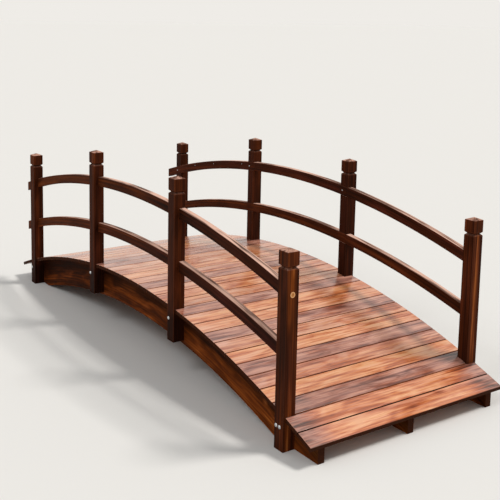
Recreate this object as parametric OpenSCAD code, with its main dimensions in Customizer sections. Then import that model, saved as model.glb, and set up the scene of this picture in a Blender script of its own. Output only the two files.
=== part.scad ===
// Moon bridge: a humped timber footbridge with four square posts and two curved rails a side.
// X runs along the bridge, Y across it and Z up. The origin is at ground level, in the middle.

/* [Deck] */
// Radius of the walking surface
deck_r = 6400; // [5600:10:7600]
// Length of a deck board, across the bridge
board_l = 1660; // [1300:10:2000]
// Width of a deck board, along the bridge
board_w = 133; // [110:1:145]
// Thickness of a deck board
board_t = 28; // [20:1:36]
// Gap between two deck boards
board_gap = 4; // [2:1:8]
// Height of the last board's lower edge above the ground
deck_end_h = 105; // [60:1:130]
// Eased edge of a deck board
board_ease = 3; // [1:0.5:5]

/* [Stringers] */
// Depth of a stringer, square to its curve
stringer_d = 245; // [180:5:280]
// Thickness of a stringer
stringer_t = 50; // [38:1:75]
// Distance from the last board's edge in to the stringer's end
stringer_inset = 16; // [5:1:60]

/* [Blocks between the stringers] */
// Thickness of a block
block_t = 50; // [38:1:60]
// Depth of a block, square to the deck
block_d = 140; // [100:5:170]
// Distance along the bridge from a post's middle to its block's middle
block_offset = 58; // [56:1:90]

/* [Posts] */
// Width of a post, each way
post_w = 90; // [75:1:110]
// Distance between the middles of two posts
post_spacing = 1320; // [1150:5:1400]
// Distance that a post stands out past the ends of the boards
post_proud = 15; // [5:1:30]
// Height of an end post's eave above the deck
end_post_h = 1005; // [950:5:1150]
// Height of a middle post's eave above the deck
mid_post_h = 940; // [900:5:1100]
// Distance that a middle post's tail stops above the stringer's lower edge
tail_rise = 25; // [5:1:60]
// Height of the square head, from the groove up to the eave
head_h = 85; // [60:1:110]
// Height of the hipped top above the eave
cap_h = 18; // [10:1:36]
// Height of the V-groove under the head
neck_h = 24; // [14:1:36]
// Depth of the V-groove
neck_d = 14; // [8:1:20]
// Clearance round a post where a board is notched for it
notch_gap = 3; // [1:0.5:6]

/* [Rails] */
// Radius of a rail's top
rail_r = 7380; // [6600:10:8500]
// Thickness of a rail, across the bridge
rail_t = 50; // [44:1:64]
// Depth of a rail, square to its curve
rail_d = 78; // [60:1:90]
// Height of the upper rail's top above the deck, at mid-span
upper_rail_h = 730; // [680:5:780]
// Height of the mid rail's top above the deck, at mid-span
mid_rail_h = 345; // [300:5:430]
// Depth of the notch that a rail is let into, in the inner side of a post
lap_d = 28; // [20:1:34]
// Distance that a rail runs on past the first post
rail_tail = 170; // [60:5:220]
// Length of the tenon that goes into the last post
tenon_l = 50; // [30:1:60]
// Shoulder of the tenon, above and below it
tenon_shoulder = 14; // [8:1:20]

/* [Bolts and plug] */
// Diameter of a carriage bolt
bolt_d = 12; // [8:1:16]
// Diameter of a bolt's domed head
bolt_head_d = 26; // [22:1:32]
// Height of a bolt's domed head
bolt_head_h = 7; // [4:0.5:9]
// Depth of a bolt below the deck, at its post
bolt_drop = 85; // [70:1:95]
// Distance along the bridge from a post's middle to its first bolt
bolt_offset = 28; // [24:1:30]
// Distance between the two bolts of a last post
bolt_pair = 35; // [32:1:40]
// Diameter of a washer
washer_d = 30; // [26:1:32]
// Thickness of a washer
washer_t = 2.5; // [1.5:0.5:3]
// Width of a nut across its flats
nut_af = 19; // [17:1:24]
// Height of a nut
nut_h = 10; // [8:1:14]
// Length of thread that shows past the nut
thread_end = 6; // [3:1:12]
// Diameter of the plug in the last front post
plug_d = 36; // [20:1:36]
// Depth of the plug's hole
plug_depth = 12; // [8:1:16]
// Distance that the plug stands out
plug_proud = 1.5; // [0.5:0.5:4]
// Height of the plug's middle above the middle of the rail's end
plug_rise = 10; // [-10:1:20]

/* [Hidden] */

// Clearance between curved faces that meet, and round a bolt, a tenon and the plug
fit = 0.3;
// Facets of a full turn of the large curves, and of the small round pieces
fine_fn = 900;
round_fn = 48;

// Deck boards lie in pairs, each pair a node
board_nodes = 17;
boards_a_node = 2;
board_count = board_nodes * boards_a_node;
board_pitch = board_w + board_gap;
deck_half_angle = (board_count * board_pitch - board_gap) / 2 / deck_r * 180 / PI;
deck_under_r = deck_r - board_t;
deck_end_x = deck_under_r * sin(deck_half_angle);
// Height of the deck's centre of curvature, which sets the last boards over the ground
deck_z0 = deck_end_h - deck_under_r * cos(deck_half_angle);
crown_h = deck_z0 + deck_r;

stringer_r = deck_under_r - fit;
stringer_end_x = deck_end_x - stringer_inset;

post_out = board_l / 2 + post_proud;
post_in = post_out - post_w;
post_x = [for (i = [-1.5:1:1.5]) i * post_spacing];
last_post = 3;

rail_in = post_in;
rail_out = post_in + rail_t;
lap_y = post_in + lap_d;
tenon_y = [post_in + (rail_t - lap_d) / 2, post_in + (rail_t + lap_d) / 2];
rail_start_x = post_x[0] - post_w / 2 - rail_tail;
rail_end_x = post_x[last_post] - post_w / 2;

// Height of a curve of the given radius and centre height, at a distance from mid-span
function curve_z(x, r, z0) = z0 + sqrt(r * r - x * x);
function deck_z(x) = curve_z(x, deck_r, deck_z0);
function rail_h(name) = name == "upper" ? upper_rail_h : mid_rail_h;
function rail_z0(name) = crown_h + rail_h(name) - rail_r;
function eave_z(i) = deck_z(post_x[i]) + (i == 0 || i == last_post ? end_post_h : mid_post_h);
function tail_z(i) = i == 0 || i == last_post ? 0
    : curve_z(abs(post_x[i]), stringer_r - stringer_d, deck_z0) + tail_rise;
function bolt_xs(i) = [for (k = [0:i == last_post ? 1 : 0]) post_x[i] - bolt_offset + k * bolt_pair];
function bolt_z(i) = deck_z(post_x[i]) - bolt_drop;

// A flat shape drawn in X and Z, given a thickness from y0 to y1
module slab_y(y0, y1) {
    translate([0, y1, 0]) rotate([90, 0, 0]) linear_extrude(y1 - y0) children();
}

// The back side is the front side mirrored
module on_side(side) {
    if (side == "front") mirror([0, 1, 0]) children();
    else children();
}

// A curved band between two radii, from x0 to x1
module band(r_out, r_in, z0, x0, x1, z_low) {
    intersection() {
        translate([0, z0]) difference() {
            circle(r_out, $fn = fine_fn);
            circle(r_in, $fn = fine_fn);
        }
        translate([x0, z_low]) square([x1 - x0, z0 + r_out - z_low + 1]);
    }
}

// The band of one rail, grown by a clearance on its curved faces
module rail_band(name, x0, x1, grow) {
    band(rail_r + grow, rail_r - rail_d - grow, rail_z0(name), x0, x1, 0);
}

// The side view of a post: shaft, V-groove, head and low hip
module post_outline(z_low, z_eave) {
    h = post_w / 2;
    neck_top = z_eave - head_h;
    polygon([
        [-h, z_low], [h, z_low],
        [h, neck_top - neck_h], [h - neck_d, neck_top - neck_h / 2], [h, neck_top],
        [h, z_eave], [0, z_eave + cap_h], [-h, z_eave],
        [-h, neck_top], [-h + neck_d, neck_top - neck_h / 2], [-h, neck_top - neck_h]]);
}

// A square post, alike from both sides
module post_blank(i) {
    translate([post_x[i], (post_in + post_out) / 2, 0]) intersection() {
        slab_y(-post_w / 2, post_w / 2) post_outline(tail_z(i), eave_z(i));
        rotate([0, 0, 90]) slab_y(-post_w / 2, post_w / 2) post_outline(tail_z(i), eave_z(i));
    }
}

// What a rail takes out of a post: an open notch, or a mortise in the last post
module rail_seat(i, name) {
    if (i == last_post) {
        slab_y(tenon_y[0] - fit, tenon_y[1] + fit)
            rail_band(name, rail_end_x - 1, rail_end_x + tenon_l + fit, fit - tenon_shoulder);
    } else {
        slab_y(rail_in - 1, lap_y)
            rail_band(name, post_x[i] - post_w, post_x[i] + post_w, fit);
    }
}

// Holes through a post and its stringer
module bolt_holes(i) {
    for (x = bolt_xs(i)) translate([x, post_in - stringer_t - 1, bolt_z(i)]) rotate([-90, 0, 0])
        cylinder(d = bolt_d + 2 * fit, h = post_w + stringer_t + 2, $fn = round_fn);
}

// Middle of the plug, on the outer face of the end post at the upper rail
plug_z = curve_z(post_x[last_post], rail_r, rail_z0("upper")) - rail_d / 2 + plug_rise;
plug_y = (post_in + post_out) / 2;

module plug_at(x) {
    translate([x, plug_y, plug_z]) rotate([0, 90, 0]) children();
}

module post(side, i) {
    color("#4a2013") on_side(side) difference() {
        post_blank(i);
        for (name = ["upper", "mid"]) rail_seat(i, name);
        bolt_holes(i);
        if (side == "front" && i == last_post) {
            plug_at(post_x[i] + post_w / 2 - plug_depth)
                cylinder(d = plug_d + 2 * fit, h = plug_depth + 1, $fn = round_fn);
        }
    }
}

// A rail: full thickness between the posts, halved where it crosses one, tenoned at its end
module rail(side, name) {
    color("#582a1c") on_side(side) union() {
        difference() {
            slab_y(rail_in, rail_out) rail_band(name, rail_start_x, rail_end_x, 0);
            for (i = [0:last_post - 1]) {
                translate([post_x[i] - post_w / 2 - fit, lap_y, 0])
                    cube([post_w + 2 * fit, rail_t, 2 * rail_r]);
            }
        }
        slab_y(tenon_y[0], tenon_y[1])
            rail_band(name, rail_end_x - 1, rail_end_x + tenon_l, -tenon_shoulder);
    }
}

// A stringer, cut level along the ground at both feet
module stringer_blank(y0) {
    slab_y(y0, y0 + stringer_t)
        band(stringer_r, stringer_r - stringer_d, deck_z0, -stringer_end_x, stringer_end_x, 0);
}

module stringer(side) {
    color("#7a3f1c") {
        if (side == "middle") stringer_blank(-stringer_t / 2);
        else on_side(side) difference() {
            stringer_blank(post_in - stringer_t);
            for (i = [0:last_post]) bolt_holes(i);
        }
    }
}

// The two blocks beside one pair of posts, square to the deck and cut level at the ground
module blocks(i) {
    x = post_x[i] + block_offset;
    span = post_in - stringer_t * 3 / 2;
    color("#6d3818") for (y0 = [-post_in + stringer_t, stringer_t / 2]) intersection() {
        translate([0, y0, deck_z0]) rotate([0, asin(x / stringer_r), 0])
            translate([-block_t / 2, 0, stringer_r - block_d]) cube([block_t, span, block_d - fit]);
        translate([x - deck_r, y0, 0]) cube([2 * deck_r, span, crown_h]);
    }
}

// A board's end view, with eased upper edges
module board_outline() {
    h = board_w / 2;
    polygon([
        [-h, 0], [h, 0], [h, board_t - board_ease], [h - board_ease, board_t],
        [-h + board_ease, board_t], [-h, board_t - board_ease]]);
}

// One flat board laid on the stringers and notched round any post that it meets
module deck_board(n) {
    angle = (n - (board_count - 1) / 2) * board_pitch / deck_r * 180 / PI;
    cut = post_w + 2 * notch_gap;
    difference() {
        translate([0, 0, deck_z0]) rotate([0, angle, 0]) translate([0, 0, deck_under_r])
            slab_y(-board_l / 2, board_l / 2) board_outline();
        for (x = post_x, side = [-1, 1]) {
            translate([x - cut / 2, side * (post_in - notch_gap + cut / 2) - cut / 2, 0])
                cube([cut, cut, crown_h]);
        }
    }
}

module deck_boards(k) {
    color("#a5623f") for (n = [0:boards_a_node - 1]) deck_board((k - 1) * boards_a_node + n);
}

// A carriage bolt with its washer and nut, its head at z = 0 on the post's outer face
module bolt() {
    dome_r = (pow(bolt_head_d / 2, 2) + pow(bolt_head_h, 2)) / (2 * bolt_head_h);
    grip = post_w + stringer_t;
    intersection() {
        translate([0, 0, bolt_head_h - dome_r]) sphere(dome_r, $fn = round_fn * 2);
        cylinder(d = bolt_head_d, h = bolt_head_h + 1, $fn = round_fn);
    }
    translate([0, 0, -grip - washer_t - nut_h - thread_end])
        cylinder(d = bolt_d, h = grip + washer_t + nut_h + thread_end + 1, $fn = round_fn);
    translate([0, 0, -grip - washer_t]) cylinder(d = washer_d, h = washer_t, $fn = round_fn);
    translate([0, 0, -grip - washer_t - nut_h])
        cylinder(d = nut_af / cos(30), h = nut_h, $fn = 6);
}

module bolts(side) {
    color("#c9ccd0") on_side(side) for (i = [0:last_post], x = bolt_xs(i)) {
        translate([x, post_out, bolt_z(i)]) rotate([-90, 0, 0]) bolt();
    }
}

module rail_plug() {
    color("#d39a5c") on_side("front") plug_at(post_x[last_post] + post_w / 2 - plug_depth)
        cylinder(d = plug_d, h = plug_depth + plug_proud, $fn = round_fn);
}

for (side = ["front", "back"], i = [0:last_post]) {
    post(side, i);
}
for (side = ["front", "back"], name = ["upper", "mid"]) {
    rail(side, name);
}
for (side = ["front", "middle", "back"]) {
    stringer(side);
}
for (i = [0:last_post]) {
    blocks(i);
}
for (k = [1:board_nodes]) {
    deck_boards(k);
}
for (side = ["front", "back"]) {
    bolts(side);
}
rail_plug();
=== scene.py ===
"""The moon bridge as it looks: oiled and stained hardwood, galvanised bolts, floor, light and camera."""

import math
import random

import bmesh
import bpy
from mathutils import Matrix, Vector


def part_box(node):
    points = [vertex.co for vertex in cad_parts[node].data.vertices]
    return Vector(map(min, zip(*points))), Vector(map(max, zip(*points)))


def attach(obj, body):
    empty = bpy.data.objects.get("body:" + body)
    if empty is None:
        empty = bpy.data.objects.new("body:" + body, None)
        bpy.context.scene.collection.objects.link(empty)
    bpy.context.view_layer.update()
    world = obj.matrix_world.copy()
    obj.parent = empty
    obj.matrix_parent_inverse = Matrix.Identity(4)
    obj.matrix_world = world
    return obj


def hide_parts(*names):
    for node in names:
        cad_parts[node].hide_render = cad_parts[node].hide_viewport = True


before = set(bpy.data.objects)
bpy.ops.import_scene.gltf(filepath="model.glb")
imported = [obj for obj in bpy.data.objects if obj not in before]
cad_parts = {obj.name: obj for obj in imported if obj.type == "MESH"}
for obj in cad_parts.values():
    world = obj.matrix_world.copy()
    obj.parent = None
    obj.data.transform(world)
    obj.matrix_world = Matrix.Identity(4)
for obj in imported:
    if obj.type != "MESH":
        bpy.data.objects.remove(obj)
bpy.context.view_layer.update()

MM = 0.001
rng = random.Random(11)

# Sizes of the timber, in metres, as the bridge was drawn
DECK_R = 6400 * MM
BOARD_T = 28 * MM
BOARDS_A_NODE = 2
BOARD_NODES = 17
FIT = 0.3 * MM
STRINGER_R = DECK_R - BOARD_T - FIT
STRINGER_D = 245 * MM
RAIL_R = 7380 * MM
RAIL_D = 78 * MM
LAP = 28 * MM
TENON_SHOULDER = 14 * MM
HEAD_H = 85 * MM
NECK_H = 24 * MM
HIP_H = 18 * MM
DECK_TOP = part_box("middle_stringer")[1].z + FIT + BOARD_T
DECK_CENTRE_Z = DECK_TOP - DECK_R

POSTS = range(1, 5)
LAST_POST = POSTS[-1]
SIDES = ("front", "back")
RAIL_LEVELS = ("upper", "mid")

# Round-overs that a router or sandpaper leaves
POST_ARRIS = 2.6 * MM
RAIL_ARRIS = 4 * MM
STRINGER_ARRIS = 3 * MM
BOARD_ARRIS = 0.5 * MM
BOARD_END_ARRIS = 2.5 * MM
BLOCK_ARRIS = 1.5 * MM
STUB_CHAMFER = 5 * MM
# Flat steps in a quarter turn of a curved timber's arris, and distance between its sections
ARRIS_STEPS = 3
STATION = 25 * MM

# Points closer than WELD are one point. A face within TOUCH of a post's side lies in that side, and what is
# within NEAR of its head or foot belongs to it.
WELD = 0.01 * MM
TOUCH = 0.1 * MM
NEAR = 1 * MM
# Faces that turn less than the first angle are one flat face, edges that turn more than the second are
# rounded over, and those that turn more than the third are shaded as sharp
FLAT_ANGLE = math.radians(0.1)
EASED_ANGLE = math.radians(20)
SHARP_ANGLE = math.radians(35)

# A face is finished as its own timber, which is 0, or as one of these
SAWN_END = 1
PLANED_EDGE = 2

# Each point of a piece has a tint: how much lighter it is, how much more plum, and a third number. On a
# last post that is where it lies across the face, with the painted band of amber reflected light at the
# middle given below. On a stringer it is how far down its side it lies, as a share of the reach of the
# painted shade under the boards, and on a rail it is 1 where the rail is sheltered and gets less of the
# bleaching and painted sheen.
REFLECTED_LIGHT_MIDDLE = 1.5
OVERHANG_SHADE_REACH = 210 * MM
SHELTERED_RAIL = ("front", "mid")


# Colour and node helpers

def linear(hex_colour):
    """Turns an sRGB hex colour to the linear values that a shader takes."""
    channels = [int(hex_colour[i:i + 2], 16) / 255 for i in (1, 3, 5)]
    return [c / 12.92 if c <= 0.04045 else ((c + 0.055) / 1.055) ** 2.4 for c in channels] + [1.0]


def fill_sockets(tree, node, inputs):
    """Links a node's sockets to the outputs given, or sets them to plain values."""
    for socket, value in inputs.items():
        if isinstance(value, bpy.types.NodeSocket):
            tree.links.new(value, node.inputs[socket])
        else:
            node.inputs[socket].default_value = value


def add_node(tree, kind, inputs=None, stops=(), limits=(), **settings):
    """Adds one node: its settings, its colour stops, its limits from and to, and its other sockets."""
    made = tree.nodes.new(kind)
    for name, value in settings.items():
        setattr(made, name, value)
    for i, (place, colour) in enumerate(stops):
        ramp = made.color_ramp.elements
        stop = ramp[i] if i < len(ramp) else ramp.new(place)
        stop.position = place
        stop.color = linear(colour)
    fill_sockets(tree, made, dict(enumerate(limits, 1)))
    fill_sockets(tree, made, inputs or {})
    return made


def new_material(name):
    """An empty material with its shader, ready for nodes."""
    material = bpy.data.materials.new(name)
    material.use_nodes = True
    tree = material.node_tree
    return material, tree, tree.nodes["Principled BSDF"]


# The Mix node's sockets for a colour, by their places
MIX_SHARE = 0
MIX_UNDER = 6
MIX_OVER = 7
MIX_RESULT = 2


# Timber. Every piece carries its own grain coordinates, in metres: along, across and through the grain.

HARDWOOD_IOR = 1.5

# Length and width, in millimetres, and waviness of a timber's streaks, its fibre and its patches. Real
# fibre is under a millimetre wide, and is drawn 8 mm wide so that it shows from here. A board's long edge
# has streaks alone.
LONG_GRAIN = ((900, 32, 0.3), (300, 8, 0), (360, 80, 0.6))
DECK_GRAIN = ((420, 30, 0.9), (150, 8, 0.3), (300, 80, 0.8))
STRINGER_GRAIN = ((560, 36, 0.7), (220, 8, 0.3), (300, 80, 0.8))
EDGE_GRAIN = (400, 20, 0)

# How much the streaks, the fibre, the patches and the growth rings count in a timber's lightness
STREAKED_FIGURE = (2.4, 0.6, 1.6, 0.25)
PATCHY_FIGURE = (1.0, 0.55, 1.6, 0.3)

# Growth rings lie 2 to 4 mm apart, and are drawn further apart so that they show from here: widest on the
# faces, and closer on sawn ends. At scale 1 a wave texture draws one ring in each WAVE_PERIOD, and along
# the grain only a RING_STRETCH as many.
FACE_RINGS = 16 * MM
END_RINGS = 6 * MM
WAVE_PERIOD = 0.314
RING_STRETCH = 0.05

# The noises lie round this middle, mostly within this range
NOISE_MIDDLE = 0.5
NOISE_RANGE = (0.3, 0.7)
# A pore is open where the fibre is below the first limit, and closed where it is above the second
PORES = (0.34, 0.46)
# The painted band of amber reflected light is full within the first distance of its middle and gone at
# the second, in widths of a post. Between these limits of the streaks, it goes from the first share of its
# strength to the second.
REFLECTED_LIGHT_REACH = (0.05, 0.45)
REFLECTED_LIGHT_STREAKS = (0.3, 0.6)
REFLECTED_LIGHT_SHARES = (0.3, 1.3)
# The painted shade under the boards is full down to the first limit and gone at the second, and the
# patches add this share to the depth
OVERHANG_SHADE_LIMITS = (0.6, 1.1)
OVERHANG_SHADE_PATCHINESS = 0.5
# Upward part of a face's normal where sun and dust, and the painted sheen laid with them, begin to
# reach it, and where they reach it in full
BLEACH_AND_SHEEN_SLOPES = (0.68, 0.96)
# The streaks and these shares of the fibre and the patches add up to the dust. Between the limits of that
# sum, the bleaching and its painted sheen go from the first share of their strength to the second.
BLEACH_AND_SHEEN_FIBRE = 0.7
BLEACH_AND_SHEEN_PATCHES = 0.9
BLEACH_AND_SHEEN_LIMITS = (1.12, 1.46)
BLEACH_AND_SHEEN_SHARES = (0.15, 1.2)
# Unevenness of a planed face, height of raised fibre, and how much the gloss differs from streak to streak
FACE_RELIEF = 12 * MM
FIBRE_RELIEF = 1.5 * MM
GLOSS_SPREAD = 0.08


def grain_noise(tree, grain, along, across, waviness, roughness=0.55):
    """A noise drawn out along the grain, from its length and width in millimetres."""
    scale = [1 / (along * MM), 1 / (across * MM), 1 / (across * MM)]
    stretched = add_node(tree, "ShaderNodeMapping", {"Vector": grain, "Scale": scale}).outputs[0]
    return add_node(tree, "ShaderNodeTexNoise", {
        "Vector": stretched, "Scale": 1, "Detail": 2, "Roughness": roughness,
        "Distortion": waviness}).outputs["Fac"]


def growth_rings(tree, grain, spacing, wander):
    """Rings round the pith, drawn out along the grain."""
    ring = WAVE_PERIOD / spacing
    turned = add_node(tree, "ShaderNodeMapping", {
        "Vector": grain, "Scale": [ring * RING_STRETCH, ring, ring]}).outputs[0]
    return add_node(tree, "ShaderNodeTexWave", {"Vector": turned, "Scale": 1, **wander},
                    wave_type="RINGS", rings_direction="X").outputs["Fac"]


def oily_pores(tree, shade, fibre, pores):
    """Open pores that hold old oil: thin dark lines along the grain."""
    line = add_node(tree, "ShaderNodeMapRange", {"Value": fibre}, limits=(*PORES, -pores, 0),
                    interpolation_type="SMOOTHSTEP").outputs[0]
    return add_node(tree, "ShaderNodeMath", {0: shade, 1: line}, operation="ADD").outputs[0]


def painted_reflected_light(tree, shade, streak, place, reflected_light):
    """A broad band of amber reflected light, painted down the middle of a face and broken up by the streaks.
    """
    off = add_node(tree, "ShaderNodeMath", {0: place, 1: REFLECTED_LIGHT_MIDDLE}, operation="SUBTRACT").outputs[0]
    off = add_node(tree, "ShaderNodeMath", {0: off}, operation="ABSOLUTE").outputs[0]
    band = add_node(tree, "ShaderNodeMapRange", {"Value": off}, limits=(*REFLECTED_LIGHT_REACH, reflected_light, 0),
                    interpolation_type="SMOOTHSTEP").outputs[0]
    broken = add_node(tree, "ShaderNodeMapRange", {"Value": streak},
                      limits=(*REFLECTED_LIGHT_STREAKS, *REFLECTED_LIGHT_SHARES)).outputs[0]
    return add_node(tree, "ShaderNodeMath", {0: band, 1: broken, 2: shade},
                    operation="MULTIPLY_ADD").outputs[0]


def painted_overhang_shade(tree, patch, depth, darkening):
    """Painted shade that reaches down from under the boards' overhang and turns the timber nearly black."""
    shade_depth = add_node(tree, "ShaderNodeMath", {0: patch, 1: OVERHANG_SHADE_PATCHINESS, 2: depth},
                   operation="MULTIPLY_ADD").outputs[0]
    return add_node(tree, "ShaderNodeMapRange", {"Value": shade_depth}, limits=(*OVERHANG_SHADE_LIMITS, darkening, 0),
                    interpolation_type="SMOOTHSTEP").outputs[0]


def bleach_and_painted_sheen(tree, noises, sheltered, bleach_and_sheen, shelter):
    """Bleaching by sun and dust, which reach only what faces up, and leave it uneven: the same paler colour
    also paints the sheen of the sky on what faces up.
    """
    streak, fibre, patch = noises
    normal = add_node(tree, "ShaderNodeNewGeometry").outputs["Normal"]
    up = add_node(tree, "ShaderNodeSeparateXYZ", {"Vector": normal}).outputs["Z"]
    up = add_node(tree, "ShaderNodeMapRange", {"Value": up}, limits=(*BLEACH_AND_SHEEN_SLOPES, 0, bleach_and_sheen),
                  interpolation_type="SMOOTHSTEP").outputs[0]
    bleach_and_sheen_mottle = streak
    for noise, share in ((fibre, BLEACH_AND_SHEEN_FIBRE), (patch, BLEACH_AND_SHEEN_PATCHES)):
        bleach_and_sheen_mottle = add_node(tree, "ShaderNodeMath", {0: noise, 1: share, 2: bleach_and_sheen_mottle},
                        operation="MULTIPLY_ADD").outputs[0]
    bleach_and_sheen_mottle = add_node(tree, "ShaderNodeMapRange", {"Value": bleach_and_sheen_mottle},
                    limits=(*BLEACH_AND_SHEEN_LIMITS, *BLEACH_AND_SHEEN_SHARES)).outputs[0]
    # A sheltered rail gets less of the bleaching and of its painted sheen
    if shelter:
        open_sky = add_node(tree, "ShaderNodeMapRange", {"Value": sheltered},
                            limits=(0, 1, 1, 1 - shelter)).outputs[0]
        bleach_and_sheen_mottle = add_node(tree, "ShaderNodeMath", {0: bleach_and_sheen_mottle, 1: open_sky}, operation="MULTIPLY").outputs[0]
    return add_node(tree, "ShaderNodeMath", {0: up, 1: bleach_and_sheen_mottle}, operation="MULTIPLY", use_clamp=True).outputs[0]


def timber(name, brown, plum, level, contrast, bleach_and_sheen, bleach_and_sheen_colour, wear_and_highlight_colour, wear_and_highlight, roughness, specular, cupping,
           reflected_light=0.0, darkening=0.0, pores=0.0, shelter=0.0, figure=STREAKED_FIGURE, blush=1.6, runs=LONG_GRAIN):
    """Hardwood sawn, planed, and oiled or stained. Streaks of dark and orange heartwood run with the grain,
    growth rings show as a soft figure, and upward faces are bleached by sun and dust, with a painted sheen
    of the sky in the same paler colour. Level and contrast say how light it is, blush how far its patches
    turn plum, and the rest how strong each mark is, painted light and shade among them."""
    material, tree, shader = new_material(name)
    grain = add_node(tree, "ShaderNodeAttribute", attribute_name="grain").outputs["Vector"]
    tint = add_node(tree, "ShaderNodeAttribute", attribute_name="tint").outputs["Vector"]
    tint = add_node(tree, "ShaderNodeSeparateXYZ", {"Vector": tint}).outputs
    noises = [grain_noise(tree, grain, *run) for run in runs]
    streak, fibre, patch = noises
    rings = growth_rings(tree, grain, FACE_RINGS, {"Distortion": 3, "Detail": 2, "Detail Scale": 0.7})

    # How light each spot is
    shade = level - NOISE_MIDDLE * contrast * sum(figure)
    for source, weight in zip((*noises, rings), figure):
        shade = add_node(tree, "ShaderNodeMath", {0: source, 1: weight * contrast, 2: shade},
                         operation="MULTIPLY_ADD").outputs[0]
    shade = add_node(tree, "ShaderNodeMath", {0: shade, 1: tint["X"]}, operation="ADD").outputs[0]
    if pores:
        shade = oily_pores(tree, shade, fibre, pores)
    if reflected_light:
        shade = painted_reflected_light(tree, shade, streak, tint["Z"], reflected_light)

    # Its colour, brown or plum, and over that the painted shade under the boards, the bleaching with its
    # painted sheen, and the wear with its painted highlight
    warm = add_node(tree, "ShaderNodeValToRGB", {"Fac": shade}, stops=brown).outputs["Color"]
    cool = add_node(tree, "ShaderNodeValToRGB", {"Fac": shade}, stops=plum).outputs["Color"]
    hue = add_node(tree, "ShaderNodeMath", {0: patch, 1: blush, 2: -NOISE_MIDDLE * blush},
                   operation="MULTIPLY_ADD").outputs[0]
    hue = add_node(tree, "ShaderNodeMath", {0: hue, 1: tint["Y"]}, operation="ADD", use_clamp=True).outputs[0]
    # Rubbed faces take the wear colour, which also paints a highlight on the edges
    eased = add_node(tree, "ShaderNodeAttribute", attribute_name="eased").outputs["Fac"]
    eased = add_node(tree, "ShaderNodeMath", {0: eased, 1: wear_and_highlight}, operation="MULTIPLY").outputs[0]
    layers = [(hue, cool)]
    # Painted shade under the boards' overhang, in the darkest brown
    if darkening:
        layers.append((painted_overhang_shade(tree, patch, tint["Z"], darkening), linear(brown[0][1])))
    # Bleaching by sun and dust on what faces up, which also paints a sheen there
    layers.append((bleach_and_painted_sheen(tree, noises, tint["Z"], bleach_and_sheen, shelter), linear(bleach_and_sheen_colour)))
    layers.append((eased, linear(wear_and_highlight_colour)))
    colour = warm
    for share, over in layers:
        colour = add_node(tree, "ShaderNodeMix", {MIX_SHARE: share, MIX_UNDER: colour, MIX_OVER: over},
                          data_type="RGBA").outputs[MIX_RESULT]

    # The slow unevenness of a planed face, raised fibre on it, and its gloss
    face = add_node(tree, "ShaderNodeBump", {"Height": patch, "Strength": cupping, "Distance": FACE_RELIEF})
    bump = add_node(tree, "ShaderNodeBump", {
        "Height": fibre, "Strength": 0.25, "Distance": FIBRE_RELIEF, "Normal": face.outputs[0]})
    gloss = add_node(tree, "ShaderNodeMapRange", {"Value": streak},
                     limits=(*NOISE_RANGE, roughness - GLOSS_SPREAD, roughness + GLOSS_SPREAD)).outputs[0]
    fill_sockets(tree, shader, {
        "Base Color": colour, "Roughness": gloss, "Normal": bump.outputs[0],
        "IOR": HARDWOOD_IOR, "Specular IOR Level": specular})
    return material


def deck_timber():
    """Decking, planed and oiled often: orange to salmon boards with plum streaks and a wet-looking sheen,
    partly painted on as a pale haze.
    """
    return timber(
        "deck_oiled_hardwood",
        brown=((0, "#43190b"), (0.25, "#7a3515"), (0.5, "#b15622"), (0.75, "#d1793a"), (1, "#e9a667")),
        plum=((0, "#36201f"), (0.25, "#613730"), (0.5, "#8c5245"), (0.75, "#ae735d"), (1, "#cf967c")),
        level=0.73, contrast=0.8, bleach_and_sheen=0.26, bleach_and_sheen_colour="#eebaa8", wear_and_highlight_colour="#d8a084", wear_and_highlight=0.6,
        roughness=0.22, specular=0.95, cupping=0.16, pores=0.04,
        figure=PATCHY_FIGURE, blush=2.6, runs=DECK_GRAIN)


def post_timber():
    """Square posts, stained dark red-brown: nearly black in shade, with amber streaks where light falls,
    and on the last posts a painted band of amber reflected light.
    """
    return timber(
        "post_stained_hardwood",
        brown=((0, "#200e07"), (0.3, "#38190c"), (0.55, "#52260f"), (0.8, "#7a3d16"), (1, "#a8622a")),
        plum=((0, "#1e0d0a"), (0.3, "#351711"), (0.55, "#4a2218"), (0.8, "#643224"), (1, "#834835")),
        level=0.32, contrast=0.4, bleach_and_sheen=0.9, bleach_and_sheen_colour="#c79c8b", wear_and_highlight_colour="#6d3c28", wear_and_highlight=0.3,
        roughness=0.5, specular=0.02, cupping=0.1, reflected_light=0.45)


def rail_timber():
    """Curved rails of the same stain as the posts, with sun-bleached tops, painted paler still as a sheen."""
    return timber(
        "rail_stained_hardwood",
        brown=((0, "#23110a"), (0.3, "#431f0f"), (0.55, "#613016"), (0.8, "#84461f"), (1, "#ad6c35")),
        plum=((0, "#220f0d"), (0.3, "#3c1a16"), (0.55, "#54271f"), (0.8, "#6f3a2e"), (1, "#8d5040")),
        level=0.29, contrast=0.36, bleach_and_sheen=0.98, bleach_and_sheen_colour="#dfb7a6", wear_and_highlight_colour="#7a4a38", wear_and_highlight=0.3,
        roughness=0.55, specular=0.015, cupping=0.1, shelter=0.42)


def stringer_timber():
    """Side beams, oiled only: warmer and more orange than the posts, with painted shade under the boards."""
    return timber(
        "stringer_oiled_hardwood",
        brown=((0, "#1e0d06"), (0.3, "#3f1c0b"), (0.55, "#622e10"), (0.8, "#89461a"), (1, "#ae6a2f")),
        plum=((0, "#1c0d08"), (0.3, "#381a0f"), (0.55, "#522818"), (0.8, "#723f2b"), (1, "#925d49")),
        level=0.48, contrast=0.45, bleach_and_sheen=0.3, bleach_and_sheen_colour="#9a6f55", wear_and_highlight_colour="#7a4a28", wear_and_highlight=0.3,
        roughness=0.55, specular=0.01, cupping=0.1, darkening=0.8, runs=STRINGER_GRAIN)


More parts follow.
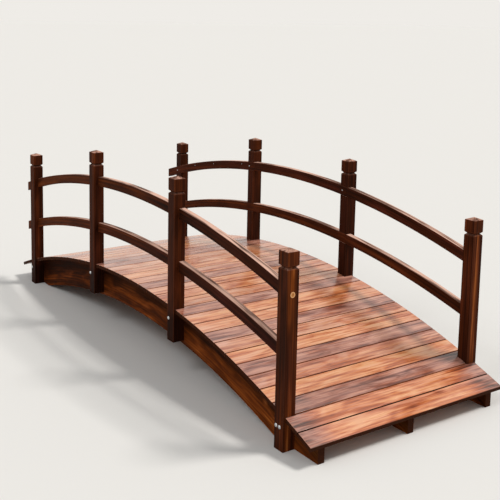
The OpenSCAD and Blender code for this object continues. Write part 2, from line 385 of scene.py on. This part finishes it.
def plug_timber():
    """A plug of pale sapwood, end grain out, oiled to amber."""
    return timber(
        "plug_oiled_sapwood",
        brown=((0, "#8f5527"), (0.3, "#b4753a"), (0.55, "#cf9552"), (0.8, "#dfae70"), (1, "#ecc68e")),
        plum=((0, "#8a5530"), (0.3, "#a8714a"), (0.55, "#c08c62"), (0.8, "#d3a57c"), (1, "#e2bd98")),
        # Here that colour is the plug's own pale ring
        level=0.35, contrast=0.4, bleach_and_sheen=0, bleach_and_sheen_colour="#dfae70", wear_and_highlight_colour="#eab27a", wear_and_highlight=0.75,
        roughness=0.45, specular=0.2, cupping=0)


def end_grain():
    """Sawn ends of the timbers, soaked with stain: nearly black and quite dull, with faint rings."""
    # Vessels are under a millimetre across, and are drawn 5 mm across so that they show from here
    vessel = 5 * MM
    ring_share = 0.35
    dullness = (0.65, 0.85)
    material, tree, shader = new_material("end_grain_stained_hardwood")
    grain = add_node(tree, "ShaderNodeAttribute", attribute_name="grain").outputs["Vector"]
    rings = growth_rings(tree, grain, END_RINGS, {"Distortion": 4, "Detail": 3, "Detail Scale": 1.5})
    cells = add_node(tree, "ShaderNodeTexNoise", {
        "Vector": grain, "Scale": 1 / vessel, "Detail": 3}).outputs["Fac"]
    soak = add_node(tree, "ShaderNodeMath", {0: rings, 1: ring_share, 2: cells},
                    operation="MULTIPLY_ADD").outputs[0]
    colour = add_node(tree, "ShaderNodeValToRGB", {"Fac": soak}, stops=(
        (0.3, "#1a0c07"), (0.6, "#2e160c"), (0.95, "#4a2615"))).outputs["Color"]
    bump = add_node(tree, "ShaderNodeBump", {"Height": soak, "Strength": 0.4, "Distance": 1 * MM})
    rough = add_node(tree, "ShaderNodeMapRange", {"Value": cells},
                     limits=(*NOISE_RANGE, *dullness)).outputs[0]
    fill_sockets(tree, shader, {
        "Base Color": colour, "Roughness": rough, "Normal": bump.outputs[0],
        "IOR": HARDWOOD_IOR, "Specular IOR Level": 0.03})
    return material


def planed_edge():
    """Long edges of the boards, planed and oiled but never rubbed: plain red-brown, and dull."""
    material, tree, shader = new_material("planed_edge_oiled_hardwood")
    grain = add_node(tree, "ShaderNodeAttribute", attribute_name="grain").outputs["Vector"]
    streak = grain_noise(tree, grain, *EDGE_GRAIN, roughness=0.5)
    colour = add_node(tree, "ShaderNodeValToRGB", {"Fac": streak}, stops=(
        (0.3, "#5c2e1c"), (0.7, "#95573a"))).outputs["Color"]
    fill_sockets(tree, shader, {
        "Base Color": colour, "Roughness": 0.75, "IOR": HARDWOOD_IOR, "Specular IOR Level": 0.03})
    return material


def galvanised_steel():
    """Hot-dip galvanised bolts and screws: bright grey zinc with a soft spangle, duller in patches."""
    spangle = 3 * MM
    dull_patch = 12 * MM
    spangle_share = 0.4
    mottle_range = (0.3, 0.9)
    dullness = (0.28, 0.5)
    material, tree, shader = new_material("galvanised_steel")
    place = add_node(tree, "ShaderNodeTexCoord").outputs["Object"]
    crystals = add_node(tree, "ShaderNodeTexVoronoi", {
        "Vector": place, "Scale": 1 / spangle}).outputs["Distance"]
    cloud = add_node(tree, "ShaderNodeTexNoise", {
        "Vector": place, "Scale": 1 / dull_patch, "Detail": 3}).outputs["Fac"]
    mottle = add_node(tree, "ShaderNodeMath", {0: crystals, 1: spangle_share, 2: cloud},
                      operation="MULTIPLY_ADD").outputs[0]
    zinc = add_node(tree, "ShaderNodeValToRGB", {"Fac": mottle}, stops=(
        (0.3, "#7f8285"), (0.8, "#c4c6c8"))).outputs["Color"]
    rough = add_node(tree, "ShaderNodeMapRange", {"Value": mottle},
                     limits=(*mottle_range, *dullness)).outputs[0]
    bump = add_node(tree, "ShaderNodeBump", {"Height": mottle, "Strength": 0.15, "Distance": 0.5 * MM})
    fill_sockets(tree, shader, {
        "Base Color": zinc, "Roughness": rough, "Normal": bump.outputs[0], "Metallic": 1})
    return material


FINISHES = {
    "deck_timber": deck_timber(),
    "post_timber": post_timber(),
    "rail_timber": rail_timber(),
    "stringer_timber": stringer_timber(),
    "plug_timber": plug_timber(),
    "end_grain": end_grain(),
    "planed_edge": planed_edge(),
    "galvanised_steel": galvanised_steel(),
}


# Mesh helpers

def with_layers(bm):
    """Adds what the finishes read: grain and tint of each point, rubbed faces with a painted highlight,
    and each face's finish.
    """
    return (bm.verts.layers.float_vector.new("grain"), bm.verts.layers.float_vector.new("tint"),
            bm.faces.layers.float.new("eased"), bm.faces.layers.float.new("finish"))


def copied_timber(node):
    """A CAD piece's own shape as clean flat faces, ready for its edges to be eased."""
    bm = bmesh.new()
    bm.from_mesh(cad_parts[node].data)
    bmesh.ops.remove_doubles(bm, verts=bm.verts, dist=WELD)
    bmesh.ops.dissolve_limit(bm, angle_limit=FLAT_ANGLE, verts=bm.verts, edges=bm.edges)
    return bm


def outer_edges(bm, is_skin):
    """Convex edges between two faces that a hand could reach before assembly."""
    return [e for e in bm.edges if len(e.link_faces) == 2 and e.calc_face_angle_signed(0) > EASED_ANGLE
            and all(is_skin(f) for f in e.link_faces)]


def ease_edges(bm, edges, width, eased):
    """Rounds these edges over and marks the new faces."""
    made = bmesh.ops.bevel(bm, geom=edges, offset=width, offset_type="OFFSET", segments=2,
                           profile=0.5, affect="EDGES", clamp_overlap=True)
    for face in made["faces"]:
        face[eased] = 1


def mark_across(bm, place, direction):
    """Adds a line of points where this plane crosses a piece, so that its tint can turn there."""
    geometry = bm.verts[:] + bm.edges[:] + bm.faces[:]
    bmesh.ops.bisect_plane(bm, geom=geometry, plane_co=place, plane_no=direction)


def piece_from(bm, name, slot, *nodes):
    """Turns a finished mesh into a piece of the bridge that stands for its CAD nodes."""
    bmesh.ops.recalc_face_normals(bm, faces=bm.faces)
    finish = bm.faces.layers.float["finish"]
    for face in bm.faces:
        face.smooth = True
        face.material_index = int(face[finish])
    finishes = (slot, "end_grain", "planed_edge")[:1 + max(face.material_index for face in bm.faces)]
    for edge in bm.edges:
        edge.smooth = edge.calc_face_angle(0) < SHARP_ANGLE
    mesh = bpy.data.meshes.new(name)
    bm.to_mesh(mesh)
    bm.free()
    piece = bpy.data.objects.new(name, mesh)
    bpy.context.scene.collection.objects.link(piece)
    for its_finish in finishes:
        mesh.materials.append(FINISHES[its_finish])
    weighted = piece.modifiers.new("even_shading", "WEIGHTED_NORMAL")
    weighted.keep_sharp = True
    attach(piece, "root")
    if nodes:
        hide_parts(*nodes)


def arc_height(radius, centre_z, x):
    """Height of an arc of that radius over a point of the bridge's length."""
    return centre_z + math.sqrt(radius * radius - x * x)


# How far along its own grain a piece may start, in metres, and how far aside and above the pith it is cut
LOG_REACH = 40
PITH_ASIDE = 70 * MM
PITH_ABOVE = (50 * MM, 140 * MM)


def random_tree():
    """Where in a log a piece was cut: far along its own grain, and off to one side of the pith."""
    return Vector((rng.uniform(-LOG_REACH, LOG_REACH), rng.uniform(-PITH_ASIDE, PITH_ASIDE),
                   rng.uniform(*PITH_ABOVE)))


def random_tone(lightness, plum):
    """How much lighter and more plum than its kind one piece is, drawn within these limits."""
    return Vector((rng.uniform(*lightness), rng.uniform(*plum), 0))


# Posts

POST_LIGHTNESS = (-0.06, 0.06)
POST_PLUM = (-0.2, 0.3)
# The last posts get a painted band of amber reflected light on the faces across the bridge, from the
# groove down. It lies a little to the front of the face's middle, and further with each metre below the
# head. The last number makes it narrower.
REFLECTED_LIGHT_SHIFT = 0.06
REFLECTED_LIGHT_DRIFT = 0.03
REFLECTED_LIGHT_NARROWING = 1.15
# How much lighter the heads are, from the groove up
HEAD_LIGHTER = 0.1
# How much painted shade darkens the tails below the deck, and how far down that takes. Not the last posts.
TAIL_PAINTED_SHADE = 0.25
TAIL_SHADE_FADE = 50 * MM


def make_post(side, i):
    """A square post with rubbed arrises, worn and with a painted highlight, grooved under its hipped head."""
    node = f"{side}_post_{i}"
    low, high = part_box(node)
    middle = (low + high) / 2
    half = (high.x - low.x) / 2
    neck_z = high.z - HIP_H - HEAD_H - NECK_H
    bm = copied_timber(node)
    grain, tint, eased, _ = with_layers(bm)

    def is_skin(face):
        c = face.calc_center_median() - middle
        outside = max(abs(c.x), abs(c.y)) > half - TOUCH
        return outside or c.z + middle.z > neck_z or c.z + middle.z < low.z + NEAR

    ease_edges(bm, outer_edges(bm, is_skin), POST_ARRIS, eased)
    tail_z = arc_height(DECK_R, DECK_CENTRE_Z, middle.x) - BOARD_T
    # Painted shade under the deck, on the tails of all but the last posts
    tail_shade = 0 if i == LAST_POST else TAIL_PAINTED_SHADE
    if tail_shade:
        for z in (tail_z, tail_z - TAIL_SHADE_FADE):
            mark_across(bm, (0, 0, z), (0, 0, 1))
    cut = random_tree()
    tone = random_tone(POST_LIGHTNESS, POST_PLUM)
    for v in bm.verts:
        p = v.co - middle
        v[grain] = Vector((p.z, p.x, p.y)) + cut
        v[tint] = tone
        if v.co.z > neck_z + NECK_H - NEAR:
            v[tint].x += HEAD_LIGHTER
        v[tint].x -= tail_shade * min(1, max(0, (tail_z - v.co.z) / TAIL_SHADE_FADE))
        # The painted band of amber reflected light, on the last posts only
        if i == LAST_POST and v.co.z < neck_z + NECK_H / 2:
            off = p.y / half / 2 + REFLECTED_LIGHT_SHIFT + REFLECTED_LIGHT_DRIFT * (high.z - v.co.z)
            v[tint].z = REFLECTED_LIGHT_MIDDLE + off * REFLECTED_LIGHT_NARROWING
    piece_from(bm, f"{side}_post_{i}_timber", "post_timber", node)


# Curved timbers

CURVED_LIGHTNESS = (-0.05, 0.05)
CURVED_PLUM = (-0.2, 0.3)
# How much lighter, and more plum, a timber is painted for each metre along the bridge, towards the last
# posts, as light that falls unevenly along it
RAIL_PAINTED_LIGHT = {"front": Vector((-0.08, 0.15, 0)), "back": Vector((-0.01, 0.05, 0))}
STRINGER_PAINTED_LIGHT = Vector((0.09, 0, 0))


def rounded_section(y0, y1, z0, z1, arris):
    """A rectangle with rounded corners, as points in Y and Z."""
    points = []
    for cy, cz, start in ((y1 - arris, z1 - arris, 0), (y0 + arris, z1 - arris, 90),
                          (y0 + arris, z0 + arris, 180), (y1 - arris, z0 + arris, 270)):
        for k in range(ARRIS_STEPS + 1):
            turn = math.radians(start + 90 * k / ARRIS_STEPS)
            points.append((cy + arris * math.cos(turn), cz + arris * math.sin(turn)))
    return points


def curved_timber(stations, radius, painted_light_per_metre, sheltered=None):
    """Sweeps rounded sections along the bridge, and finishes the upper arrises as rubbed, worn and with a
    painted highlight. A station is x, the section's Y and Z limits and its arris. Only a rail is sheltered,
    or not."""
    bm = bmesh.new()
    grain, tint, eased, finish = with_layers(bm)
    cut = random_tree()
    tone = random_tone(CURVED_LIGHTNESS, CURVED_PLUM)
    rings = []
    for x, y0, y1, z0, z1, arris in stations:
        ring = []
        for y, z in rounded_section(y0, y1, z0, z1, arris):
            v = bm.verts.new((x, y, z))
            along = radius * math.asin(x / radius)
            v[grain] = Vector((along, y - (y0 + y1) / 2, z - z1)) + cut
            # On a stringer the third tint is its depth into the painted shade under the boards
            third = (z1 - z) / OVERHANG_SHADE_REACH if sheltered is None else sheltered
            # Painted light that changes along the bridge
            v[tint] = tone + painted_light_per_metre * x + Vector((0, 0, third))
            ring.append(v)
        rings.append(ring)
    count = len(rings[0])
    corner = ARRIS_STEPS + 1
    for a, b in zip(rings, rings[1:]):
        for k in range(count):
            face = bm.faces.new((a[k], a[(k + 1) % count], b[(k + 1) % count], b[k]))
            upper = k < 2 * corner
            face[eased] = 1 if upper and k % corner != ARRIS_STEPS else 0
    for ring in (rings[0], rings[-1]):
        bm.faces.new(ring)[finish] = SAWN_END
    bmesh.ops.remove_doubles(bm, verts=bm.verts, dist=WELD)
    bmesh.ops.dissolve_degenerate(bm, edges=bm.edges, dist=WELD)
    return bm


def stations_between(x0, x1):
    """Places about one station apart, both ends included."""
    count = max(1, round((x1 - x0) / STATION))
    return [x0 + (x1 - x0) * k / count for k in range(count + 1)]


def make_rail(side, level):
    """A curved rail: whole between the posts, halved where it crosses one, tenoned into the last."""
    node = f"{side}_rail_{level}"
    low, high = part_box(node)
    centre_z = high.z - RAIL_R
    outward = -1 if side == "front" else 1
    inner = min(abs(low.y), abs(high.y))
    outer = max(abs(low.y), abs(high.y))

    def station(x, y_in, y_out, inset=0.0, arris=RAIL_ARRIS):
        top = arc_height(RAIL_R, centre_z, x) - inset
        foot = arc_height(RAIL_R - RAIL_D, centre_z, x) + inset
        return (x, *sorted((outward * y_in, outward * y_out)), foot, top, arris)

    spans = []
    for i in POSTS[:-1]:
        post_low, post_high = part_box(f"{side}_post_{i}")
        spans.append((post_low.x - FIT, post_high.x + FIT))
    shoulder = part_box(f"{side}_post_{LAST_POST}")[0].x
    trim = STUB_CHAMFER
    stations = [station(low.x, inner + trim, outer - trim, trim)]
    x = low.x + trim
    for lap_start, lap_end in spans:
        stations += [station(s, inner, outer) for s in stations_between(x, lap_start)]
        stations += [station(s, inner, inner + LAP) for s in stations_between(lap_start, lap_end)]
        x = lap_end
    stations += [station(s, inner, outer) for s in stations_between(x, shoulder)]
    cheek = (outer - inner - LAP) / 2
    stations += [station(s, inner + cheek, outer - cheek, TENON_SHOULDER) for s in (shoulder, high.x)]
    sheltered = 1 if (side, level) == SHELTERED_RAIL else 0
    curved = curved_timber(stations, RAIL_R, RAIL_PAINTED_LIGHT[side], sheltered)
    piece_from(curved, f"{side}_rail_{level}_timber", "rail_timber", node)


def make_stringer(side):
    """A curved beam under the boards, cut level along the ground at both feet."""
    node = f"{side}_stringer"
    low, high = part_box(node)
    centre_z = high.z - STRINGER_R
    foot_x = math.sqrt((STRINGER_R - STRINGER_D) ** 2 - centre_z ** 2)
    places = stations_between(low.x, -foot_x) + stations_between(-foot_x, foot_x)[1:]
    places += stations_between(foot_x, high.x)[1:]
    stations = []
    for x in places:
        top = arc_height(STRINGER_R, centre_z, x)
        foot = max(low.z, arc_height(STRINGER_R - STRINGER_D, centre_z, x)) if abs(x) < foot_x else low.z
        stations.append((x, low.y, high.y, foot, top, STRINGER_ARRIS))
    curved = curved_timber(stations, STRINGER_R, STRINGER_PAINTED_LIGHT)
    piece_from(curved, f"{side}_stringer_timber", "stringer_timber", node)


# Boards and blocks

# The outer long edges of the first and the last board, given the sawn ends' near-black finish as painted
# shade: their node, and whether they face the last posts
OUTER_EDGES = ((1, False), (BOARD_NODES, True))

# Boards are counted from the end beyond the first posts. Most differ in lightness and share of plum within
# these limits. Some come from darker logs and some from more orange ones, as the last two do.
BOARD_LIGHTNESS = (-0.08, 0.12)
BOARD_PLUM = (0, 0.5)
DARK_BOARDS = (3, 7, 12, 13, 18, 22, 25, 28, 31)
ORANGE_BOARDS = (10, 16, 20, 23, 27, 30)
LAST_BOARDS = (32, 33)
BOARD_TONES = ((DARK_BOARDS, Vector((-0.18, 0.8, 0))), (ORANGE_BOARDS, Vector((0.06, -0.2, 0))),
               (LAST_BOARDS, Vector((-0.04, -0.35, 0))))

# A board is darker and more plum at its ends. That starts and is complete at these distances from the
# bridge's middle line, goes furthest on the boards that the last posts shade, where it is a painted shadow
# of those posts, and differs on the others.
END_DARKENING_FROM = 560 * MM
END_DARKENING_FULL = 760 * MM
SHADED_BOARDS = (31, 32, 33)
SHADED_ENDS = Vector((-0.42, 1, 0))
END_DARKENING = Vector((-0.08, 0.6, 0))

# A face is an end where its normal points more than this out along the board, and none where it hardly
# points out. An end's normal points less than POINTS_UP upwards, and a long edge's less than NEARLY_UP.
POINTS_OUT = 0.9
HARDLY_OUT = 0.3
POINTS_UP = 0.5
NEARLY_UP = 0.85

# How far a board lies from its place, along itself and up or down
BOARD_SLIP = 1 * MM
BOARD_LIFT = 0.3 * MM

BLOCK_LIGHTNESS = (-0.1, 0)
BLOCK_PLUM = (0, 0.4)


def islands(bm):
    """The separate solids of a mesh, as lists of points, from one end of the bridge to the other."""
    left = set(bm.verts)
    found = []
    while left:
        start = left.pop()
        group = [start]
        waiting = [start]
        while waiting:
            for e in waiting.pop().link_edges:
                for v in e.verts:
                    if v in left:
                        left.discard(v)
                        group.append(v)
                        waiting.append(v)
        found.append(sorted(group, key=lambda v: v.index))
    return sorted(found, key=lambda g: sum(v.co.x for v in g) / len(g))


def board_tone(n):
    """Lightness and plum share of one board: neighbours differ, and a few stand out from the rest."""
    tone = random_tone(BOARD_LIGHTNESS, BOARD_PLUM)
    for boards, their_tone in BOARD_TONES:
        if n in boards:
            tone = their_tone
    return tone


def darker_ends(n):
    """How much more plum, and darker, one board is at its ends: a painted post shadow on the shaded boards.
    """
    if n in SHADED_BOARDS:
        return SHADED_ENDS
    return END_DARKENING * rng.uniform(0, 1)


def is_board_end(edge):
    """Whether an edge is the upper one across a board's outer end."""
    a, b = (v.co for v in edge.verts)
    facing_out = any(abs(face.normal.y) > POINTS_OUT for face in edge.link_faces)
    facing_up = any(face.normal.z > POINTS_UP for face in edge.link_faces)
    return facing_out and facing_up and min(abs(a.y), abs(b.y)) > END_DARKENING_FULL


def lay_board(board, n, grain, tint):
    """Gives one board its own grain, tone and darker ends, and lays it a little off its place."""
    xs = [v.co.x for v in board]
    zs = [v.co.z for v in board]
    centre = Vector(((min(xs) + max(xs)) / 2, 0, (min(zs) + max(zs)) / 2))
    lean = math.atan2(centre.x, centre.z - DECK_CENTRE_Z)
    across = Vector((math.cos(lean), 0, -math.sin(lean)))
    through = Vector((math.sin(lean), 0, math.cos(lean)))
    cut = random_tree()
    tone = board_tone(n)
    darkening = darker_ends(n)
    slip = Vector((0, rng.uniform(-BOARD_SLIP, BOARD_SLIP), 0))
    slip += through * rng.uniform(-BOARD_LIFT, BOARD_LIFT)
    for v in board:
        p = v.co - centre
        v[grain] = Vector((p.y, p.dot(across), p.dot(through))) + cut
        reach = (abs(p.y) - END_DARKENING_FROM) / (END_DARKENING_FULL - END_DARKENING_FROM)
        v[tint] = tone + darkening * min(1, max(0, reach))
        v.co += slip


def make_boards(k):
    """Two flat deck boards, each from its own tree: ends rounded over, long edges crisp and just broken."""
    node = f"deck_boards_{k}"
    bm = copied_timber(node)
    grain, tint, eased, finish = with_layers(bm)
    # The rounded upper end edges take the pale wear colour, which also paints a highlight on them
    ends = [e for e in outer_edges(bm, lambda face: True) if is_board_end(e)]
    ease_edges(bm, ends, BOARD_END_ARRIS, eased)
    ease_edges(bm, outer_edges(bm, lambda face: face[eased] == 0), BOARD_ARRIS, eased)
    for y in (-END_DARKENING_FULL, -END_DARKENING_FROM, END_DARKENING_FROM, END_DARKENING_FULL):
        mark_across(bm, (0, y, 0), (0, 1, 0))
    bm.verts.index_update()
    for face in bm.faces:
        along_board = abs(face.normal.y) < HARDLY_OUT
        if abs(face.normal.z) < (NEARLY_UP if along_board else POINTS_UP):
            # The outer long edges take the sawn ends' near-black finish, as painted shade
            between = along_board and (k, face.normal.x > 0) not in OUTER_EDGES
            face[finish] = PLANED_EDGE if between else SAWN_END
        if along_board:
            face[eased] = 0
    for j, board in enumerate(islands(bm)):
        lay_board(board, (k - 1) * BOARDS_A_NODE + j, grain, tint)
    piece_from(bm, f"deck_boards_{k}_timber", "deck_timber", node)


def make_blocks(i):
    """The blocks that keep the stringers apart beside one pair of posts."""
    node = f"blocks_{i}"
    bm = copied_timber(node)
    grain, tint, eased, _ = with_layers(bm)
    ease_edges(bm, outer_edges(bm, lambda face: True), BLOCK_ARRIS, eased)
    for group in islands(bm):
        cut = random_tree()
        tone = random_tone(BLOCK_LIGHTNESS, BLOCK_PLUM)
        for v in group:
            v[grain] = Vector((v.co.y, v.co.x, v.co.z)) + cut
            v[tint] = tone
    piece_from(bm, f"blocks_{i}_timber", "stringer_timber", node)


# Plug and screws

# The plug's rim, as depth below its face and distance in from its side, and its slightly hollow middle,
# as depth and share of its radius. The pale ring starts at a share of its radius too. PLUG_CUT is where in
# its log the plug was cut.
PLUG_RIM = ((0.8 * MM, 0), (0.2 * MM, 0.5 * MM), (0, 1.3 * MM))
PLUG_MIDDLE = ((0.1 * MM, 0.62), (0.3 * MM, 0))
PLUG_RING = 0.4
PLUG_CUT = Vector((3, 0.01, 0.02))
PLUG_STEPS = 48

# A screw head's dome, as height and radius in radii of the head, and how much it is flattened
SCREW_DOME = ((0, 1), (0.6, 0.85), (0.9, 0.5), (1, 0))
SCREW_FLATTENED = 0.5
SCREW_STEPS = 20
LAP_SCREW_R = 6 * MM
LAP_SCREW_OFFSET = 24 * MM
LAP_SCREW_DEPTH = RAIL_D / 2
SMALL_SCREW_R = 3.5 * MM
SMALL_SCREW_X = (-1650 * MM, -1300 * MM, -810 * MM)
SMALL_SCREW_DEPTH = RAIL_D / 3


def turned_piece(profile, steps):
    """A shape turned on the X axis from points of (x, radius)."""
    bm = bmesh.new()
    with_layers(bm)
    rings = []
    for x, radius in profile:
        turns = [2 * math.pi * k / steps for k in range(steps)] if radius > 0 else [0]
        rings.append([bm.verts.new((x, radius * math.cos(t), radius * math.sin(t))) for t in turns])
    for a, b in zip(rings, rings[1:]):
        for k in range(steps):
            corners = [a[k % len(a)], a[(k + 1) % len(a)], b[(k + 1) % len(b)], b[k % len(b)]]
            corners = list(dict.fromkeys(corners))
            if len(corners) > 2:
                bm.faces.new(corners)
    return bm


def make_plug():
    """The pale plug in the last front post: a ring of sapwood round an amber middle, its rim just rounded."""
    low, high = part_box("rail_plug")
    radius = (high.y - low.y) / 2
    profile = [(low.x, 0), (low.x, radius)]
    profile += [(high.x - depth, radius - inset) for depth, inset in PLUG_RIM]
    profile += [(high.x - depth, radius * share) for depth, share in PLUG_MIDDLE]
    bm = turned_piece(profile, PLUG_STEPS)
    grain = bm.verts.layers.float_vector["grain"]
    eased = bm.faces.layers.float["eased"]
    centre = Vector((0, (low.y + high.y) / 2, (low.z + high.z) / 2))
    for face in bm.faces:
        in_ring = min(math.hypot(v.co.y, v.co.z) for v in face.verts) > PLUG_RING * radius
        face[eased] = 1 if in_ring else 0
    for v in bm.verts:
        v[grain] = v.co + PLUG_CUT
        v.co += centre
    piece_from(bm, "rail_plug_timber", "plug_timber", "rail_plug")


def make_screw(name, side, x, z, radius):
    """A flat-domed screw head on a rail's inner face."""
    bm = turned_piece([(height * radius, share * radius) for height, share in SCREW_DOME], SCREW_STEPS)
    low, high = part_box(f"{side}_rail_upper")
    outward = -1 if side == "front" else 1
    face_y = outward * min(abs(low.y), abs(high.y))
    for v in bm.verts:
        v.co = Vector((x + v.co.y, face_y - outward * v.co.x * SCREW_FLATTENED, z + v.co.z))
    piece_from(bm, name, "galvanised_steel")


def make_screws(side):
    """A screw through each lap of the upper rail, and three small ones along its first bay."""
    centre_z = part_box(f"{side}_rail_upper")[1].z - RAIL_R
    for i in POSTS[:-1]:
        post_low, post_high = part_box(f"{side}_post_{i}")
        x = (post_low.x + post_high.x) / 2 - LAP_SCREW_OFFSET
        z = arc_height(RAIL_R - LAP_SCREW_DEPTH, centre_z, x)
        make_screw(f"{side}_upper_lap_screw_{i}", side, x, z, LAP_SCREW_R)
    for n, x in enumerate(SMALL_SCREW_X, 1):
        z = arc_height(RAIL_R - SMALL_SCREW_DEPTH, centre_z, x)
        make_screw(f"{side}_upper_small_screw_{n}", side, x, z, SMALL_SCREW_R)


for side in SIDES:
    for i in POSTS:
        make_post(side, i)
    for level in RAIL_LEVELS:
        make_rail(side, level)
for side in (*SIDES, "middle"):
    make_stringer(side)
for k in range(1, BOARD_NODES + 1):
    make_boards(k)
for i in POSTS:
    make_blocks(i)
make_plug()
for side in SIDES:
    make_screws(side)
    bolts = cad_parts[f"{side}_bolts"]
    bolts.data.materials.clear()
    bolts.data.materials.append(FINISHES["galvanised_steel"])


# Floor, light and camera

# How far the floor reaches, in metres, and how far it lies below the bridge's feet
FLOOR_REACH = 150
FLOOR_GAP = 0.5 * MM


def make_floor():
    """A plain pale floor that runs out of sight."""
    bm = bmesh.new()
    bmesh.ops.create_grid(bm, x_segments=8, y_segments=8, size=FLOOR_REACH)
    mesh = bpy.data.meshes.new("floor")
    bm.to_mesh(mesh)
    bm.free()
    floor = bpy.data.objects.new("floor", mesh)
    floor.location.z = -FLOOR_GAP
    bpy.context.scene.collection.objects.link(floor)
    material, tree, shader = new_material("pale_floor")
    fill_sockets(tree, shader, {
        "Base Color": linear("#e5e6e6"), "Roughness": 0.9, "Specular IOR Level": 0.1})
    mesh.materials.append(material)


def make_sky(seen, seen_strength, light_strength):
    """A white studio all round, seen and mirrored at full white, which lights more softly."""
    world = bpy.data.worlds.new("studio")
    bpy.context.scene.world = world
    world.use_nodes = True
    tree = world.node_tree
    path = add_node(tree, "ShaderNodeLightPath").outputs
    mirrored = add_node(tree, "ShaderNodeMath", {
        0: path["Is Glossy Ray"], 1: path["Is Transmission Ray"]}, operation="ADD").outputs[0]
    shown = add_node(tree, "ShaderNodeMath", {
        0: mirrored, 1: path["Is Camera Ray"]}, operation="ADD", use_clamp=True).outputs[0]
    strength = add_node(tree, "ShaderNodeMapRange", {"Value": shown},
                        limits=(0, 1, light_strength, seen_strength)).outputs[0]
    fill_sockets(tree, tree.nodes["Background"], {"Color": linear(seen), "Strength": strength})


def soft_sun(name, azimuth, elevation, spread, strength, colour):
    """A very wide, soft sun: even light on the whole floor, with blurred shadows."""
    lamp = bpy.data.lights.new(name, "SUN")
    lamp.energy = strength
    lamp.angle = math.radians(spread)
    lamp.color = linear(colour)[:3]
    sun = bpy.data.objects.new(name, lamp)
    turn = math.radians(azimuth)
    rise = math.radians(elevation)
    towards = Vector((math.cos(turn) * math.cos(rise), math.sin(turn) * math.cos(rise), math.sin(rise)))
    sun.rotation_euler = towards.to_track_quat("Z", "Y").to_euler()
    bpy.context.scene.collection.objects.link(sun)


def make_camera():
    """Head height beyond the bridge's end and to one side. The frame is shifted down, because the posts
    stand almost parallel in it."""
    place = Vector((6.0931, -3.9646, 2.6360))
    yaw = 2.5332
    pitch = 0.1414
    roll = 0.0209
    focal_px = 903.4
    frame_px = 500
    shift_down = 0.2218
    ahead = Vector((math.cos(yaw) * math.cos(pitch), math.sin(yaw) * math.cos(pitch), -math.sin(pitch)))
    level_right = Vector((math.sin(yaw), -math.cos(yaw), 0))
    level_up = level_right.cross(ahead)
    right = level_right * math.cos(roll) + level_up * math.sin(roll)
    up = level_up * math.cos(roll) - level_right * math.sin(roll)
    camera = bpy.data.cameras.new("camera")
    camera.sensor_width = 36
    camera.lens = focal_px / frame_px * camera.sensor_width
    camera.shift_y = -shift_down
    camera.clip_end = 400
    seat = bpy.data.objects.new("camera", camera)
    seat.matrix_world = Matrix((
        (right.x, up.x, -ahead.x, place.x), (right.y, up.y, -ahead.y, place.y),
        (right.z, up.z, -ahead.z, place.z), (0, 0, 0, 1)))
    bpy.context.scene.collection.objects.link(seat)
    bpy.context.scene.camera = seat


make_floor()
make_sky(seen="#efece7", seen_strength=1.0, light_strength=0.5)
soft_sun("high_sun", azimuth=62, elevation=58, spread=14, strength=1.9, colour="#fff9f1")
soft_sun("front_fill", azimuth=-80, elevation=48, spread=22, strength=0.6, colour="#ffffff")
make_camera()
bpy.context.scene.view_settings.view_transform = "Standard"
